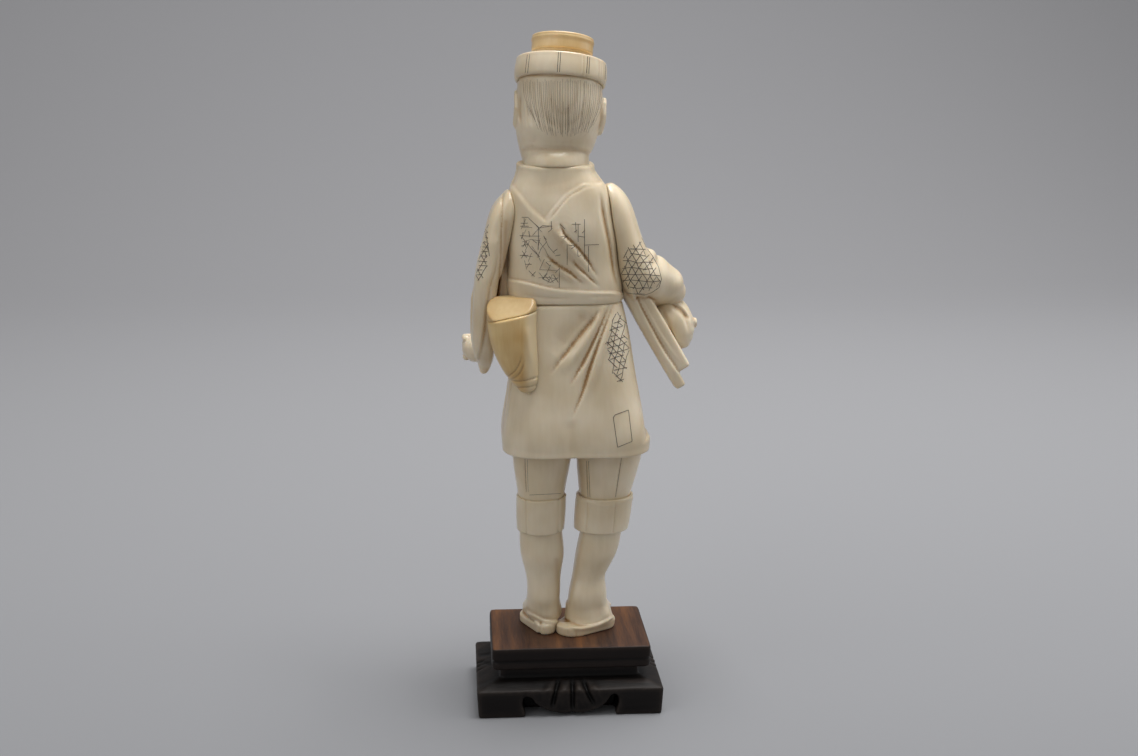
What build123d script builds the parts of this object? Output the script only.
"""Sectional carving of a country man standing on a carved wooden stand.

Millimetres. +Z is up and the origin is the centre of the stand's underside. The figure
faces -Y, so its left side is +X.
"""
import os

from build123d import *

os.makedirs("parts", exist_ok=True)

# Shared fits
cut_overrun = 5.0
peg_clearance = 0.15

# Stand, from the floor up
plinth_length = 70.0
plinth_depth = 50.0
plinth_draw_in = 0.6
plinth_face_height = 10.5
plinth_slope_rise = 3.0
plinth_corner_radius = 1.0
waist_length = 52.0
waist_depth = 36.0
waist_rise = 3.9
slab_length = 59.8
slab_depth = 42.6
slab_thickness = 8.6
slab_corner_radius = 2.5
slab_offset = 0.6
apron_depth = 9.0
stand_height = plinth_face_height + plinth_slope_rise + waist_rise + slab_thickness
# Slab edge from its underside up: height and inset, in shares of the thickness
slab_edge_shares = [
    (0.0, 0.10),
    (0.08, 0.0),
    (0.31, 0.0),
    (0.39, 0.10),
    (0.47, 0.0),
    (0.88, 0.0),
    (0.96, 0.03),
    (1.0, 0.07),
]
# Lower edge of the apron between the feet: place along the side and height, in shares
# of the side's length and of the face height
apron_shares = [
    (0.241, 0.0),
    (0.243, 0.16),
    (0.254, 0.45),
    (0.250, 0.68),
    (0.236, 0.80),
    (0.216, 0.76),
    (0.194, 0.52),
    (0.160, 0.32),
    (0.110, 0.18),
    (0.050, 0.10),
    (0.0, 0.12),
]

# Stand dowels, and the pegs that seat the feet in the slab
stand_dowel_radius = 2.0
stand_dowel_length = 7.0
stand_dowel_spacing = 30.0
foot_peg_radius = 1.6
foot_peg_length = 12.0
foot_peg_seat = 6.0

# Lower legs, each with its foot and sandal in one piece
sole_thickness = 3.8
sole_length = 32.0
leg_height = 38.2
leg_width = 17.0
leg_depth = 16.5
left_splay = 12.0
right_splay = 30.0
left_heel_out = 7.2
left_heel_back = 8.0
right_heel_out = 2.9
right_heel_back = 7.2
left_heel = Vector(left_heel_out, left_heel_back)
right_heel = Vector(-right_heel_out, right_heel_back)
left_leg_top_x = 9.8
right_leg_top_x = -13.2
# Rounds at the heel, ball and toes whose hull is the sole: across, back and radius, in
# shares of the sole length
left_sole_shares = [
    (0.259, 0.144, 0.119),
    (0.341, -0.238, 0.212),
    (0.281, -0.484, 0.162),
]
right_sole_shares = [
    (-0.069, 0.153, 0.206),
    (-0.384, -0.044, 0.206),
    (-0.360, -0.410, 0.156),
]
# Height, share of the way from foot to knee axis, share of the sole length that the
# middle lies ahead of the heel, width and depth
leg_station_shares = [
    (0.0, 0.0, 0.47, 0.70, 1.28),
    (0.06, 0.0, 0.43, 0.72, 1.20),
    (0.13, 0.0, 0.34, 0.72, 1.04),
    (0.22, 0.02, 0.26, 0.74, 0.92),
    (0.36, 0.18, 0.23, 0.75, 0.80),
    (0.62, 0.66, 0.23, 0.92, 0.93),
    (0.80, 0.88, 0.24, 0.98, 0.98),
    (0.92, 0.97, 0.25, 0.96, 0.96),
    (1.0, 1.0, 0.26, 0.92, 0.92),
]

# Trouser legs and their turned cuffs
trouser_height = 30.0
left_trouser_width = 22.6
right_trouser_width = 25.0
trouser_depth = 22.0
trouser_y = -0.5
left_trouser_top_x = 9.2
right_trouser_top_x = -16.4
left_trouser_foot_x = 9.8
right_trouser_foot_x = -13.4
# Height, share of the way from the lower to the upper axis, width and depth
trouser_station_shares = [
    (0.0, 0.0, 0.76, 0.80),
    (0.38, 0.38, 0.78, 0.84),
    (0.70, 0.70, 0.92, 0.95),
    (1.0, 1.0, 1.0, 1.0),
]
cuff_height = 13.5
cuff_drop = 2.0
left_cuff_width = 18.8
right_cuff_width = 21.6
cuff_depth = 20.6
cuff_rim_share = 0.96

# Pegs inside the legs and the waist
knee_peg_radius = 2.0
knee_peg_length = 10.0
hip_peg_radius = 3.0
hip_peg_length = 14.0
waist_dowel_radius = 4.0
waist_dowel_length = 18.0

# Jacket below the waist seam: height, middle across, width and depth
skirt_height = 56.5
skirt_width = 55.2
skirt_depth = 36.6
corner_share = 0.40
skirt_station_shares = [
    (0.0, -0.058, 0.965, 0.975),
    (0.05, -0.060, 1.0, 1.0),
    (0.46, -0.040, 0.872, 0.915),
    (0.82, -0.008, 0.795, 0.815),
    (0.94, 0.008, 0.770, 0.780),
    (1.0, 0.016, 0.757, 0.765),
]

# Jacket above the waist seam, with the neck socket in its top
torso_height = 48.5
torso_width = 42.4
torso_depth = 28.4
torso_station_shares = [
    (0.0, 0.021, 0.985, 0.985),
    (0.125, 0.028, 0.995, 1.0),
    (0.25, 0.036, 0.965, 0.99),
    (0.375, 0.043, 0.953, 0.985),
    (0.5, 0.048, 0.943, 0.975),
    (0.625, 0.056, 0.910, 0.945),
    (0.75, 0.066, 0.880, 0.90),
    (0.875, 0.077, 0.778, 0.80),
    (1.0, 0.078, 0.600, 0.67),
]
neck_socket_depth = 6.0

# Head: the neck stands upright and the skull is bowed and tipped to the right
neck_x = 3.4
neck_y = -0.8
neck_width = 22.6
neck_depth = 20.0
neck_height = 12.0
neck_embed = 6.7
skull_height = 33.5
skull_width = 30.8
skull_depth = 34.0
head_bow = 12.0
head_tip = 5.0
# Height above the neck, middle across and front to back, width and depth
skull_station_shares = [
    (-0.02, 0.015, 0.03, 0.80, 0.62),
    (0.08, 0.02, -0.05, 0.90, 0.84),
    (0.24, 0.015, -0.03, 0.96, 0.95),
    (0.50, 0.02, 0.015, 1.0, 1.0),
    (0.70, 0.035, 0.05, 0.985, 0.97),
    (0.86, 0.04, 0.08, 0.86, 0.84),
    (0.96, 0.04, 0.085, 0.66, 0.64),
    (1.0, 0.04, 0.085, 0.42, 0.42),
]
nose_length = 9.0
nose_width = 6.0
nose_rise = 3.4
nose_up_share = 0.38
ear_height = 12.0
ear_depth = 6.5
ear_thickness = 4.4
ear_up_share = 0.40
ear_lobe_share = 0.80

# Rolled headband and the crown set inside it
headband_width = 33.4
headband_depth = 36.2
headband_height = 9.4
headband_up_share = 0.66
headband_hole_width = 25.0
headband_hole_depth = 26.4
headband_station_shares = [
    (0.0, 0.915),
    (0.18, 0.985),
    (0.50, 1.0),
    (0.82, 0.975),
    (1.0, 0.895),
]
crown_radius = 11.4
crown_height = 7.6
crown_embed = 1.2
crown_station_shares = [
    (0.0, 0.90),
    (0.60, 0.90),
    (0.72, 0.99),
    (0.86, 1.0),
    (0.96, 0.90),
    (1.0, 0.70),
]
neck_peg_radius = 3.0
neck_peg_length = 12.0
crown_peg_radius = 1.5
crown_peg_length = 5.0

# Left sleeve, hanging straight: height, middle across and front to back, width, depth
left_sleeve_height = 68.5
left_sleeve_width = 10.2
left_sleeve_depth = 26.0
left_sleeve_tip_x = 30.6
left_sleeve_drop = 27.5
left_sleeve_station_shares = [
    (0.0, 0.0, -0.24, 0.26, 0.34),
    (0.06, -0.03, -0.24, 0.48, 0.70),
    (0.16, 0.02, -0.18, 0.74, 0.95),
    (0.34, -0.02, -0.12, 0.82, 1.0),
    (0.48, -0.10, -0.04, 0.90, 0.93),
    (0.61, -0.27, 0.0, 0.95, 0.86),
    (0.74, -0.49, 0.02, 0.93, 0.81),
    (0.86, -0.74, 0.02, 1.0, 0.77),
    (0.93, -0.97, 0.02, 0.94, 0.66),
    (0.99, -1.18, 0.02, 0.62, 0.44),
]

# Right arm: shoulder, elbow and wrist, measured from the waist seam
shoulder_out = 14.5
shoulder_back = 0.5
shoulder_rise = 38.5
elbow_out = 27.0
elbow_back = 2.0
elbow_rise = 8.0
wrist_out = 39.6
wrist_forward = 22.0
wrist_drop = 2.0
right_shoulder = Vector(-shoulder_out, shoulder_back, shoulder_rise)
right_elbow = Vector(-elbow_out, elbow_back, elbow_rise)
right_wrist = Vector(-wrist_out, -wrist_forward, -wrist_drop)
upper_arm_width = 14.0
upper_arm_depth = 18.0
upper_arm_station_shares = [
    (-0.10, 0.0, 0.40, 0.50),
    (0.02, 0.0, 0.78, 0.80),
    (0.25, 0.02, 0.92, 0.95),
    (0.55, 0.0, 0.86, 0.98),
    (0.80, -0.04, 0.96, 1.0),
    (1.0, -0.06, 1.0, 0.92),
    (1.18, -0.06, 0.70, 0.60),
]
forearm_width = 16.4
forearm_station_shares = [
    (-0.20, 0.60),
    (0.0, 0.92),
    (0.25, 1.0),
    (0.55, 0.96),
    (0.85, 0.86),
    (1.0, 0.72),
    (1.08, 0.44),
]
# Hanging mouth of the right sleeve: two leaves, each from a start to a tip measured
# from the waist seam, whose back edges lie at one place
leaf_back_y = 3.5
leaf_reach = 21.0
inner_leaf_start_out = 19.5
inner_leaf_start_rise = 6.5
inner_leaf_tip_out = 42.6
inner_leaf_tip_drop = 33.6
inner_leaf_thickness = 4.6
outer_leaf_start_out = 25.5
outer_leaf_start_rise = 4.0
outer_leaf_tip_out = 43.8
outer_leaf_tip_drop = 26.5
outer_leaf_thickness = 5.6
inner_leaf_start = Vector(-inner_leaf_start_out, 0, inner_leaf_start_rise)
inner_leaf_tip = Vector(-inner_leaf_tip_out, 0, -inner_leaf_tip_drop)
outer_leaf_start = Vector(-outer_leaf_start_out, 0, outer_leaf_start_rise)
outer_leaf_tip = Vector(-outer_leaf_tip_out, 0, -outer_leaf_tip_drop)
leaf_corner_share = 0.24
# Place along the leaf, reach and thickness
leaf_station_shares = [
    (0.0, 0.42, 0.86),
    (0.30, 0.66, 1.0),
    (0.70, 0.96, 1.0),
    (1.0, 1.0, 0.92),
]
arm_peg_radius = 1.6
arm_peg_length = 9.0
arm_peg_level = 28.0

# Hands: loose fists on a wrist stub
fist_length = 17.0
fist_width = 9.4
fist_depth = 10.6
fist_station_shares = [
    (0.0, 0.56, 0.56),
    (0.36, 0.60, 0.60),
    (0.52, 0.94, 0.92),
    (0.74, 1.0, 1.0),
    (0.92, 0.84, 0.86),
    (1.0, 0.52, 0.56),
]
left_fist_out = 30.7
left_fist_forward = 11.0
left_fist_drop = 21.5
right_fist_out = 38.4
right_fist_forward = 17.5
right_fist_drop = 5.6
left_fist_start = Vector(left_fist_out, -left_fist_forward, -left_fist_drop)
right_fist_start = Vector(-right_fist_out, -right_fist_forward, -right_fist_drop)
left_fist_aim = Vector(0.28, -1.0, -0.10)
right_fist_aim = Vector(-0.10, -0.86, -0.50)

# Tied bundle that hangs outside the right sleeve
bundle_out = 40.4
bundle_forward = 10.5
bundle_drop = 11.4
bundle_centre = Vector(-bundle_out, -bundle_forward, -bundle_drop)
bundle_width = 16.2
bundle_depth = 18.0
bundle_height = 19.6
bundle_station_shares = [
    (-0.50, 0.30),
    (-0.45, 0.55),
    (-0.30, 0.86),
    (-0.05, 1.0),
    (0.20, 0.90),
    (0.40, 0.62),
    (0.50, 0.34),
]
knot_length = 3.2
knot_radius = 1.9
knot_out_share = 0.80

# Fish basket on the left hip: height, middle across, width and depth
basket_height = 35.6
basket_width = 18.2
basket_depth = 15.0
basket_x = 20.8
basket_y = 13.4
basket_drop = 33.0
basket_station_shares = [
    (0.0, -0.34, 0.20, 0.30),
    (0.08, -0.30, 0.46, 0.58),
    (0.20, -0.22, 0.68, 0.78),
    (0.40, -0.10, 0.86, 0.92),
    (0.62, -0.02, 0.96, 1.0),
    (0.86, 0.0, 1.0, 1.0),
    (0.96, 0.0, 0.96, 0.95),
    (1.0, 0.0, 0.86, 0.84),
]
lid_share = 0.82
lid_slant = 13.0
carried_peg_radius = 1.0
carried_peg_length = 6.0
hand_peg_share = 0.42
basket_peg_across_share = 0.20
basket_peg_down_share = 0.45

# Levels that the pieces share, from the floor up
sole_level = stand_height
leg_level = sole_level + sole_thickness
knee_level = leg_level + leg_height
hem_level = knee_level + trouser_height
waist_level = hem_level + skirt_height
collar_level = waist_level + torso_height
neck_level = collar_level - neck_socket_depth
skull_level = neck_level + neck_height


def oval(plane, width, depth):
    """Oval face on a plane, its width along the plane's X."""
    with BuildSketch(plane) as face:
        Ellipse(width / 2, depth / 2)
    return face.sketch


def pillow(plane, width, depth, share=corner_share):
    """Rounded rectangle face, its corners a share of its shorter side."""
    with BuildSketch(plane) as face:
        RectangleRounded(width, depth, min(width, depth) * share)
    return face.sketch


def level_plane(x, y, z):
    """Horizontal plane at a point."""
    return Plane(origin=(x, y, z), x_dir=(1, 0, 0), z_dir=(0, 0, 1))


def aimed_plane(start, end):
    """Plane at a point whose normal looks at another, with its X kept level."""
    aim = end - start
    across = Vector(0, 0, 1).cross(aim)
    return Plane(origin=start, x_dir=across, z_dir=aim)


def above_waist(point):
    """A place given from the waist seam, in the part's own frame."""
    return Vector(point.X, point.Y, point.Z + waist_level)


def drill(plane, radius, length):
    """Bore for a peg that is centred on a plane, cut from the piece being built."""
    with Locations(plane):
        Cylinder(radius + peg_clearance, length, mode=Mode.SUBTRACT)


def pegs(planes, radius, length):
    """Round pegs of one size, each centred on its plane."""
    for plane in planes:
        with Locations(plane):
            Cylinder(radius, length)


def finish(builder, name):
    """Label a finished piece and write it to its own file."""
    builder.part.label = name
    export_step(builder.part, f"parts/{name}.step")


# Planes of the foot pegs, the dowels and the other pegs
def foot_point(heel, share, splay):
    """Place on the axis of a splayed foot, a share of the sole ahead of its heel."""
    ahead = Vector(0, -sole_length * share, 0).rotate(Axis.Z, splay)
    return Vector(heel.X + ahead.X, heel.Y + ahead.Y, 0)


left_side = 1
right_side = -1
foot_peg_share = 0.26
foot_peg_shift = foot_peg_length / 2 - foot_peg_seat
foot_peg_planes = [
    level_plane(foot_point(left_heel, foot_peg_share, left_splay).X,
                foot_point(left_heel, foot_peg_share, left_splay).Y,
                sole_level + foot_peg_shift),
    level_plane(foot_point(right_heel, foot_peg_share, -right_splay).X,
                foot_point(right_heel, foot_peg_share, -right_splay).Y,
                sole_level + foot_peg_shift),
]
stand_dowel_level = stand_height - slab_thickness
stand_dowel_planes = [
    level_plane(stand_dowel_spacing / 2, 0, stand_dowel_level),
    level_plane(-stand_dowel_spacing / 2, 0, stand_dowel_level),
]
knee_peg_planes = [
    level_plane(left_leg_top_x, trouser_y, knee_level),
    level_plane(right_leg_top_x, trouser_y, knee_level),
]
hip_peg_planes = [
    level_plane(left_trouser_top_x, trouser_y, hem_level),
    level_plane(right_trouser_top_x, trouser_y, hem_level),
]
waist_dowel_plane = level_plane(0, 0, waist_level)
neck_peg_plane = level_plane(neck_x, neck_y, neck_level)

skull_plane = level_plane(neck_x, neck_y, skull_level)
skull_plane = skull_plane.rotated((head_bow, -head_tip, 0))
crown_x = skull_width * skull_station_shares[-1][1]
crown_y = skull_depth * skull_station_shares[-1][2]
crown_plane = skull_plane.offset(skull_height - crown_embed)
crown_plane.origin = crown_plane.from_local_coords((crown_x, crown_y, 0))


with BuildPart() as stand_plinth:
    lower_length = plinth_length - 2 * plinth_draw_in
    lower_depth = plinth_depth - 2 * plinth_draw_in
    shoulder_level = plinth_face_height + plinth_slope_rise
    with BuildSketch(Plane.XY):
        RectangleRounded(lower_length, lower_depth, plinth_corner_radius)
    with BuildSketch(Plane.XY.offset(plinth_face_height)):
        RectangleRounded(plinth_length, plinth_depth, plinth_corner_radius)
    loft(ruled=True)
    with BuildSketch(Plane.XY.offset(plinth_face_height)):
        RectangleRounded(plinth_length, plinth_depth, plinth_corner_radius)
    with BuildSketch(Plane.XY.offset(shoulder_level)):
        RectangleRounded(waist_length, waist_depth, plinth_corner_radius)
    loft(ruled=True)
    with BuildSketch(Plane.XY.offset(shoulder_level)):
        RectangleRounded(waist_length, waist_depth, plinth_corner_radius)
    extrude(amount=waist_rise)
    for side_length, face_y, turn in (
        (plinth_length, -plinth_depth / 2, 0),
        (plinth_depth, -plinth_length / 2, 90),
        (plinth_length, -plinth_depth / 2, 180),
        (plinth_depth, -plinth_length / 2, 270),
    ):
        face_plane = Plane(
            origin=Vector(0, face_y + apron_depth, 0).rotate(Axis.Z, turn),
            x_dir=Vector(1, 0, 0).rotate(Axis.Z, turn),
            z_dir=Vector(0, -1, 0).rotate(Axis.Z, turn),
        )
        right_edge = [(side_length * x, plinth_face_height * z) for x, z in apron_shares]
        left_edge = [(-x, z) for x, z in reversed(right_edge[:-1])]
        with BuildSketch(face_plane):
            with BuildLine():
                Polyline(*right_edge, *left_edge, close=True)
            make_face()
        extrude(amount=apron_depth + cut_overrun, mode=Mode.SUBTRACT)
    for dowel_plane in stand_dowel_planes:
        drill(dowel_plane, stand_dowel_radius, stand_dowel_length)
finish(stand_plinth, "stand_plinth")

with BuildPart() as stand_top:
    for up_share, in_share in slab_edge_shares:
        inset = 2 * in_share * slab_thickness
        with BuildSketch(level_plane(-slab_offset, 0, stand_dowel_level + up_share * slab_thickness)):
            RectangleRounded(slab_length - inset, slab_depth - inset, slab_corner_radius)
    loft(ruled=True)
    for dowel_plane in stand_dowel_planes:
        drill(dowel_plane, stand_dowel_radius, stand_dowel_length)
    for foot_peg_plane in foot_peg_planes:
        drill(foot_peg_plane, foot_peg_radius, foot_peg_length)
finish(stand_top, "stand_top")

with BuildPart() as stand_dowels:
    pegs(stand_dowel_planes, stand_dowel_radius, stand_dowel_length)
finish(stand_dowels, "stand_dowels")


def lower_leg_sections(heel, top_x, splay):
    """Ovals of a lower leg, long over the foot and round at the calf."""
    sections = []
    for up_share, lean_share, ahead_share, w_share, d_share in leg_station_shares:
        turn = splay * (1 - lean_share)
        middle = foot_point(heel, ahead_share, turn)
        across = middle.X + (top_x - middle.X) * lean_share
        back = middle.Y + (trouser_y - middle.Y) * lean_share
        plane = level_plane(across, back, leg_level + up_share * leg_height)
        with BuildSketch(plane) as ring:
            Ellipse(leg_width * w_share / 2, leg_depth * d_share / 2, rotation=turn)
        sections.append(ring.sketch)
    return sections


def sole(rounds):
    """Sandal sole, the hull of the rounds at its heel, ball and toes."""
    with BuildSketch(Plane.XY.offset(sole_level)) as outline:
        for across_share, back_share, radius_share in rounds:
            with Locations((across_share * sole_length, back_share * sole_length)):
                Circle(radius_share * sole_length)
        make_hull()
    return outline.sketch


with BuildPart() as left_lower_leg:
    loft(sections=lower_leg_sections(left_heel, left_leg_top_x, left_splay))
    extrude(sole(left_sole_shares), amount=sole_thickness)
    drill(foot_peg_planes[0], foot_peg_radius, foot_peg_length)
    drill(knee_peg_planes[0], knee_peg_radius, knee_peg_length)
finish(left_lower_leg, "left_lower_leg")

with BuildPart() as right_lower_leg:
    loft(sections=lower_leg_sections(right_heel, right_leg_top_x, -right_splay))
    extrude(sole(right_sole_shares), amount=sole_thickness)
    add(left_lower_leg.part, mode=Mode.SUBTRACT)
    drill(foot_peg_planes[1], foot_peg_radius, foot_peg_length)
    drill(knee_peg_planes[1], knee_peg_radius, knee_peg_length)
finish(right_lower_leg, "right_lower_leg")

with BuildPart() as foot_pegs:
    pegs(foot_peg_planes, foot_peg_radius, foot_peg_length)
finish(foot_pegs, "foot_pegs")

with BuildPart() as knee_pegs:
    pegs(knee_peg_planes, knee_peg_radius, knee_peg_length)
finish(knee_pegs, "knee_pegs")


def trouser_sections(width, foot_x, top_x):
    """Ovals of a trouser leg from the knee to the hem of the jacket."""
    sections = []
    for up_share, lean_share, w_share, d_share in trouser_station_shares:
        across = foot_x + (top_x - foot_x) * lean_share
        plane = level_plane(across, trouser_y, knee_level + up_share * trouser_height)
        sections.append(oval(plane, width * w_share, trouser_depth * d_share))
    return sections


def cuff_sections(width, foot_x, top_x):
    """Ovals of a turned cuff, a little wider than the trouser leg inside it."""
    lean = (top_x - foot_x) / trouser_height
    bottom = knee_level - cuff_drop
    sections = []
    for up_share, size_share in ((0.0, cuff_rim_share), (0.5, 1.0), (1.0, 1.0)):
        rise = up_share * cuff_height
        plane = level_plane(foot_x + lean * (rise - cuff_drop), trouser_y, bottom + rise)
        sections.append(oval(plane, width * size_share, cuff_depth * size_share))
    return sections


with BuildPart() as left_trouser:
    loft(sections=trouser_sections(left_trouser_width, left_trouser_foot_x, left_trouser_top_x))
    drill(knee_peg_planes[0], knee_peg_radius, knee_peg_length)
    drill(hip_peg_planes[0], hip_peg_radius, hip_peg_length)
finish(left_trouser, "left_trouser")

with BuildPart() as right_trouser:
    loft(sections=trouser_sections(right_trouser_width, right_trouser_foot_x, right_trouser_top_x))
    drill(knee_peg_planes[1], knee_peg_radius, knee_peg_length)
    drill(hip_peg_planes[1], hip_peg_radius, hip_peg_length)
finish(right_trouser, "right_trouser")

with BuildPart() as left_cuff_core:
    loft(sections=trouser_sections(left_trouser_width, left_trouser_foot_x, left_trouser_top_x))
    extrude(left_cuff_core.faces().sort_by(Axis.Z)[0], amount=cuff_drop + cut_overrun)

with BuildPart() as right_cuff_core:
    loft(sections=trouser_sections(right_trouser_width, right_trouser_foot_x, right_trouser_top_x))
    extrude(right_cuff_core.faces().sort_by(Axis.Z)[0], amount=cuff_drop + cut_overrun)

with BuildPart() as left_cuff:
    loft(sections=cuff_sections(left_cuff_width, left_trouser_foot_x, left_trouser_top_x))
    add(left_cuff_core.part, mode=Mode.SUBTRACT)
finish(left_cuff, "left_cuff")

with BuildPart() as right_cuff:
    loft(sections=cuff_sections(right_cuff_width, right_trouser_foot_x, right_trouser_top_x))
    add(right_cuff_core.part, mode=Mode.SUBTRACT)
finish(right_cuff, "right_cuff")

with BuildPart() as hip_pegs:
    pegs(hip_peg_planes, hip_peg_radius, hip_peg_length)
finish(hip_pegs, "hip_pegs")


def jacket_sections(base, height, width, depth, station_shares):
    """Rounded sections of a jacket piece, stacked on a level."""
    sections = []
    for up_share, x_share, w_share, d_share in station_shares:
        plane = level_plane(x_share * width, 0, base + up_share * height)
        sections.append(pillow(plane, width * w_share, depth * d_share))
    return sections


with BuildPart() as skirt_core:
    loft(sections=jacket_sections(
        hem_level, skirt_height, skirt_width, skirt_depth, skirt_station_shares))
    for hip_peg_plane in hip_peg_planes:
        drill(hip_peg_plane, hip_peg_radius, hip_peg_length)
    drill(waist_dowel_plane, waist_dowel_radius, waist_dowel_length)

with BuildPart() as torso_core:
    loft(sections=jacket_sections(
        waist_level, torso_height, torso_width, torso_depth, torso_station_shares))
    with BuildSketch(level_plane(neck_x, neck_y, neck_level)):
        Ellipse(neck_width / 2 + peg_clearance, neck_depth / 2 + peg_clearance)
    extrude(amount=neck_socket_depth + cut_overrun, mode=Mode.SUBTRACT)
    drill(waist_dowel_plane, waist_dowel_radius, waist_dowel_length)
    drill(neck_peg_plane, neck_peg_radius, neck_peg_length)

with BuildPart() as waist_dowel:
    pegs([waist_dowel_plane], waist_dowel_radius, waist_dowel_length)
finish(waist_dowel, "waist_dowel")

with BuildPart() as neck_peg:
    pegs([neck_peg_plane], neck_peg_radius, neck_peg_length)
finish(neck_peg, "neck_peg")


def skull_sections():
    """Ovals of the bowed skull, from under the jaw to the top."""
    sections = []
    for up_share, x_share, y_share, w_share, d_share in skull_station_shares:
        plane = skull_plane.offset(up_share * skull_height)
        plane.origin = plane.from_local_coords((x_share * skull_width, y_share * skull_depth, 0))
        sections.append(oval(plane, skull_width * w_share, skull_depth * d_share))
    return sections


def ear_place(side):
    """Middle of an ear, sunk half its thickness into the side of the skull."""
    plane = skull_plane.offset(ear_up_share * skull_height)
    plane.origin = plane.from_local_coords((side * (skull_width - ear_thickness / 2) / 2, 0, 0))
    return plane


with BuildPart() as head:
    loft(sections=skull_sections())
    with BuildSketch(level_plane(neck_x, neck_y, neck_level)):
        Ellipse(neck_width / 2, neck_depth / 2)
    extrude(amount=neck_height + neck_embed)
    for ear_side in (left_side, right_side):
        ear_plane = ear_place(ear_side)
        loft(sections=[
            oval(ear_plane.offset(-ear_height / 2), ear_thickness / 2, ear_depth / 2),
            oval(ear_plane.offset(-ear_height / 4), ear_thickness, ear_depth * ear_lobe_share),
            oval(ear_plane.offset(ear_height / 4), ear_thickness, ear_depth),
            oval(ear_plane.offset(ear_height / 2), ear_thickness / 2, ear_depth / 2),
        ])
    nose_plane = skull_plane.offset(nose_up_share * skull_height - nose_length / 2)
    nose_plane.origin = nose_plane.from_local_coords((0, -skull_depth / 2, 0))
    loft(sections=[
        oval(nose_plane, nose_width, nose_rise * 2),
        oval(nose_plane.offset(nose_length / 3), nose_width, nose_rise * 2),
        oval(nose_plane.offset(nose_length), nose_width / 2, nose_rise),
    ])
    drill(neck_peg_plane, neck_peg_radius, neck_peg_length)
    drill(crown_plane, crown_peg_radius, crown_peg_length)

with BuildPart() as headband:
    band_plane = skull_plane.offset(headband_up_share * skull_height)
    band_plane.origin = band_plane.from_local_coords(
        (skull_width * skull_station_shares[4][1], skull_depth * skull_station_shares[4][2], 0))
    loft(sections=[
        oval(band_plane.offset(up_share * headband_height),
             headband_width * size_share, headband_depth * size_share)
        for up_share, size_share in headband_station_shares
    ])
    add(head.part, mode=Mode.SUBTRACT)
    extrude(oval(band_plane, headband_hole_width, headband_hole_depth),
            amount=headband_height + cut_overrun, mode=Mode.SUBTRACT)
finish(headband, "headband")

with BuildPart() as hat_crown:
    loft(sections=[
        oval(crown_plane.offset(up_share * crown_height),
             2 * crown_radius * size_share, 2 * crown_radius * size_share)
        for up_share, size_share in crown_station_shares
    ])
    add(head.part, mode=Mode.SUBTRACT)
    add(headband.part, mode=Mode.SUBTRACT)
    drill(crown_plane, crown_peg_radius, crown_peg_length)
finish(hat_crown, "hat_crown")
finish(head, "head")

with BuildPart() as crown_peg:
    pegs([crown_plane], crown_peg_radius, crown_peg_length)
finish(crown_peg, "crown_peg")

# Arms, glued on flat against the jacket, and what they carry
arm_peg_height = waist_level + arm_peg_level


def side_face_x(side):
    """Where the side of the jacket stands at the level of the arm pegs."""
    lower, upper = torso_station_shares[4], torso_station_shares[5]
    share = (arm_peg_level / torso_height - lower[0]) / (upper[0] - lower[0])
    middle = (lower[1] + (upper[1] - lower[1]) * share) * torso_width
    half = (lower[2] + (upper[2] - lower[2]) * share) * torso_width / 2
    return middle + side * half


arm_peg_planes = [
    Plane(origin=(side_face_x(side), 0, arm_peg_height), z_dir=(side, 0, 0))
    for side in (left_side, right_side)
]

with BuildPart() as left_sleeve_core:
    sleeve_sections = []
    for up_share, x_share, y_share, w_share, d_share in left_sleeve_station_shares:
        sleeve_plane = level_plane(
            left_sleeve_tip_x + x_share * left_sleeve_width,
            y_share * left_sleeve_depth,
            waist_level - left_sleeve_drop + up_share * left_sleeve_height)
        sleeve_sections.append(
            pillow(sleeve_plane, left_sleeve_width * w_share, left_sleeve_depth * d_share))
    loft(sections=sleeve_sections)
    add(torso_core.part, mode=Mode.SUBTRACT)
    add(skirt_core.part, mode=Mode.SUBTRACT)


def arm_sections(start, end, width, depth, station_shares):
    """Ovals along a straight limb; each station also says how far it bulges outward."""
    plane = aimed_plane(start, end)
    length = (end - start).length
    sections = []
    for along_share, out_share, w_share, d_share in station_shares:
        station = plane.offset(along_share * length)
        station.origin = station.from_local_coords((0, out_share * width, 0))
        sections.append(oval(station, depth * d_share, width * w_share))
    return sections


def leaf_sections(start, tip, thickness):
    """Rounded slabs along a hanging leaf, reaching further forward to its mouth."""
    aim = tip - start
    sections = []
    for along_share, reach_share, thick_share in leaf_station_shares:
        reach = leaf_reach * reach_share
        middle = above_waist(start + aim * along_share)
        middle.Y = leaf_back_y - reach / 2
        plane = Plane(origin=middle, x_dir=(0, -1, 0), z_dir=aim)
        sections.append(pillow(plane, reach, thickness * thick_share, leaf_corner_share))
    return sections


shoulder = above_waist(right_shoulder)
elbow = above_waist(right_elbow)
wrist = above_waist(right_wrist)

with BuildPart() as right_sleeve_core:
    loft(sections=arm_sections(
        shoulder, elbow, upper_arm_width, upper_arm_depth, upper_arm_station_shares))
    forearm_stations = [(share, 0, size, size) for share, size in forearm_station_shares]
    loft(sections=arm_sections(elbow, wrist, forearm_width, forearm_width, forearm_stations))
    loft(sections=leaf_sections(inner_leaf_start, inner_leaf_tip, inner_leaf_thickness))
    loft(sections=leaf_sections(outer_leaf_start, outer_leaf_tip, outer_leaf_thickness))
    add(torso_core.part, mode=Mode.SUBTRACT)
    add(skirt_core.part, mode=Mode.SUBTRACT)


def fist_sections(start, aim):
    """Ovals of a loose fist and its wrist stub, along the way it points."""
    plane = aimed_plane(start, start + aim)
    return [
        oval(plane.offset(along * fist_length), fist_width * w_share, fist_depth * d_share)
        for along, w_share, d_share in fist_station_shares
    ]


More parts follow.
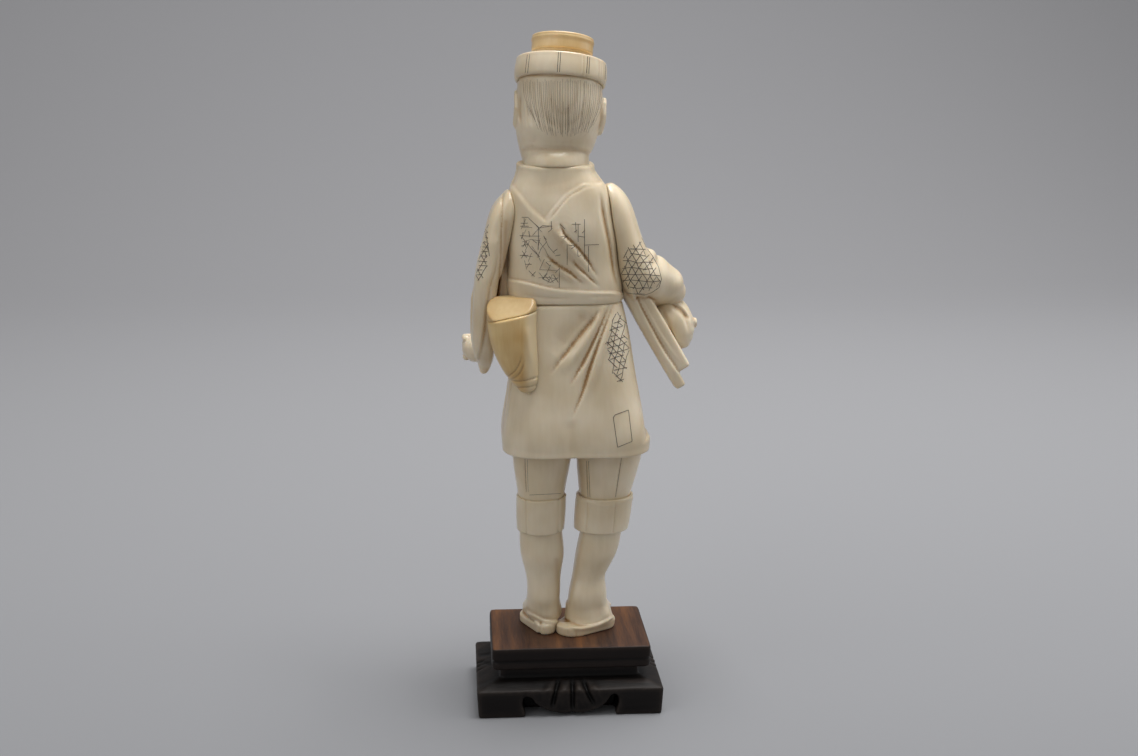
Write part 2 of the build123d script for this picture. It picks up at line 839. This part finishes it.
leaf_aim = outer_leaf_tip - outer_leaf_start
leaf_face = Plane(
    origin=above_waist(outer_leaf_start), z_dir=Vector(0, 1, 0).cross(leaf_aim))
left_fist = above_waist(left_fist_start)
right_fist = above_waist(right_fist_start)
bundle_middle = above_waist(bundle_centre)
basket_base = waist_level - basket_drop


def fist_peg_plane(start, aim):
    """Plane of the peg that holds a hand in its sleeve."""
    return aimed_plane(start, start + aim).offset(hand_peg_share * fist_length)


def bundle_peg_plane():
    """Plane of the bundle's peg, square to the leaf's outer face and on it."""
    height = (bundle_middle - leaf_face.origin).dot(leaf_face.z_dir)
    foot = bundle_middle - leaf_face.z_dir * (height - outer_leaf_thickness / 2)
    return Plane(origin=foot, z_dir=leaf_face.z_dir)


carried_peg_planes = [
    fist_peg_plane(left_fist, left_fist_aim),
    fist_peg_plane(right_fist, right_fist_aim),
    bundle_peg_plane(),
    Plane(origin=(basket_x - basket_width * basket_peg_across_share, basket_y,
                  waist_level - basket_drop * basket_peg_down_share), z_dir=(0, 1, 0)),
]

with BuildPart() as left_hand:
    loft(sections=fist_sections(left_fist, left_fist_aim))
    add(left_sleeve_core.part, mode=Mode.SUBTRACT)
    drill(carried_peg_planes[0], carried_peg_radius, carried_peg_length)

with BuildPart() as bundle_core:
    loft(sections=[
        oval(level_plane(bundle_middle.X, bundle_middle.Y, bundle_middle.Z + up * bundle_height),
             bundle_width * size, bundle_depth * size)
        for up, size in bundle_station_shares
    ])
    knot_plane = Plane(
        origin=bundle_middle - Vector(bundle_width / 2 * knot_out_share, 0, 0), z_dir=(-1, 0, 0))
    with Locations(knot_plane):
        Cylinder(knot_radius, knot_length, align=(Align.CENTER, Align.CENTER, Align.MIN))
    split(bisect_by=leaf_face, keep=Keep.TOP)
    add(right_sleeve_core.part, mode=Mode.SUBTRACT)

with BuildPart() as right_hand:
    loft(sections=fist_sections(right_fist, right_fist_aim))
    add(right_sleeve_core.part, mode=Mode.SUBTRACT)
    add(bundle_core.part, mode=Mode.SUBTRACT)
    drill(carried_peg_planes[1], carried_peg_radius, carried_peg_length)

lid_plane = level_plane(basket_x, basket_y, basket_base + lid_share * basket_height)
lid_plane = lid_plane.rotated((0, lid_slant, 0))


def basket_sections():
    """Ovals of the tapered basket, from its curled foot to the top of its lid."""
    return [
        oval(level_plane(basket_x + x_share * basket_width, basket_y,
                         basket_base + up_share * basket_height),
             basket_width * w_share, basket_depth * d_share)
        for up_share, x_share, w_share, d_share in basket_station_shares
    ]


with BuildPart() as basket_body:
    loft(sections=basket_sections())
    split(bisect_by=lid_plane, keep=Keep.BOTTOM)
    add(skirt_core.part, mode=Mode.SUBTRACT)
    add(torso_core.part, mode=Mode.SUBTRACT)
    add(left_sleeve_core.part, mode=Mode.SUBTRACT)
    drill(carried_peg_planes[3], carried_peg_radius, carried_peg_length)

with BuildPart() as basket_lid:
    loft(sections=basket_sections())
    split(bisect_by=lid_plane, keep=Keep.TOP)
    add(skirt_core.part, mode=Mode.SUBTRACT)
    add(torso_core.part, mode=Mode.SUBTRACT)
    add(left_sleeve_core.part, mode=Mode.SUBTRACT)

# The pieces that others are glued against, with the bores of the pegs they take
with BuildPart() as jacket_skirt:
    add(skirt_core.part)
    drill(carried_peg_planes[3], carried_peg_radius, carried_peg_length)

with BuildPart() as jacket_body:
    add(torso_core.part)
    for arm_peg_plane in arm_peg_planes:
        drill(arm_peg_plane, arm_peg_radius, arm_peg_length)

with BuildPart() as left_sleeve:
    add(left_sleeve_core.part)
    drill(arm_peg_planes[0], arm_peg_radius, arm_peg_length)
    drill(carried_peg_planes[0], carried_peg_radius, carried_peg_length)

with BuildPart() as right_sleeve:
    add(right_sleeve_core.part)
    drill(arm_peg_planes[1], arm_peg_radius, arm_peg_length)
    drill(carried_peg_planes[1], carried_peg_radius, carried_peg_length)
    drill(carried_peg_planes[2], carried_peg_radius, carried_peg_length)

with BuildPart() as bundle:
    add(bundle_core.part)
    drill(carried_peg_planes[2], carried_peg_radius, carried_peg_length)

with BuildPart() as arm_pegs:
    pegs(arm_peg_planes, arm_peg_radius, arm_peg_length)

with BuildPart() as carried_pegs:
    pegs(carried_peg_planes, carried_peg_radius, carried_peg_length)

finish(jacket_skirt, "jacket_skirt")
finish(jacket_body, "jacket_body")
finish(left_sleeve, "left_sleeve")
finish(right_sleeve, "right_sleeve")
finish(left_hand, "left_hand")
finish(right_hand, "right_hand")
finish(bundle, "bundle")
finish(basket_body, "basket_body")
finish(basket_lid, "basket_lid")
finish(arm_pegs, "arm_pegs")
finish(carried_pegs, "carried_pegs")
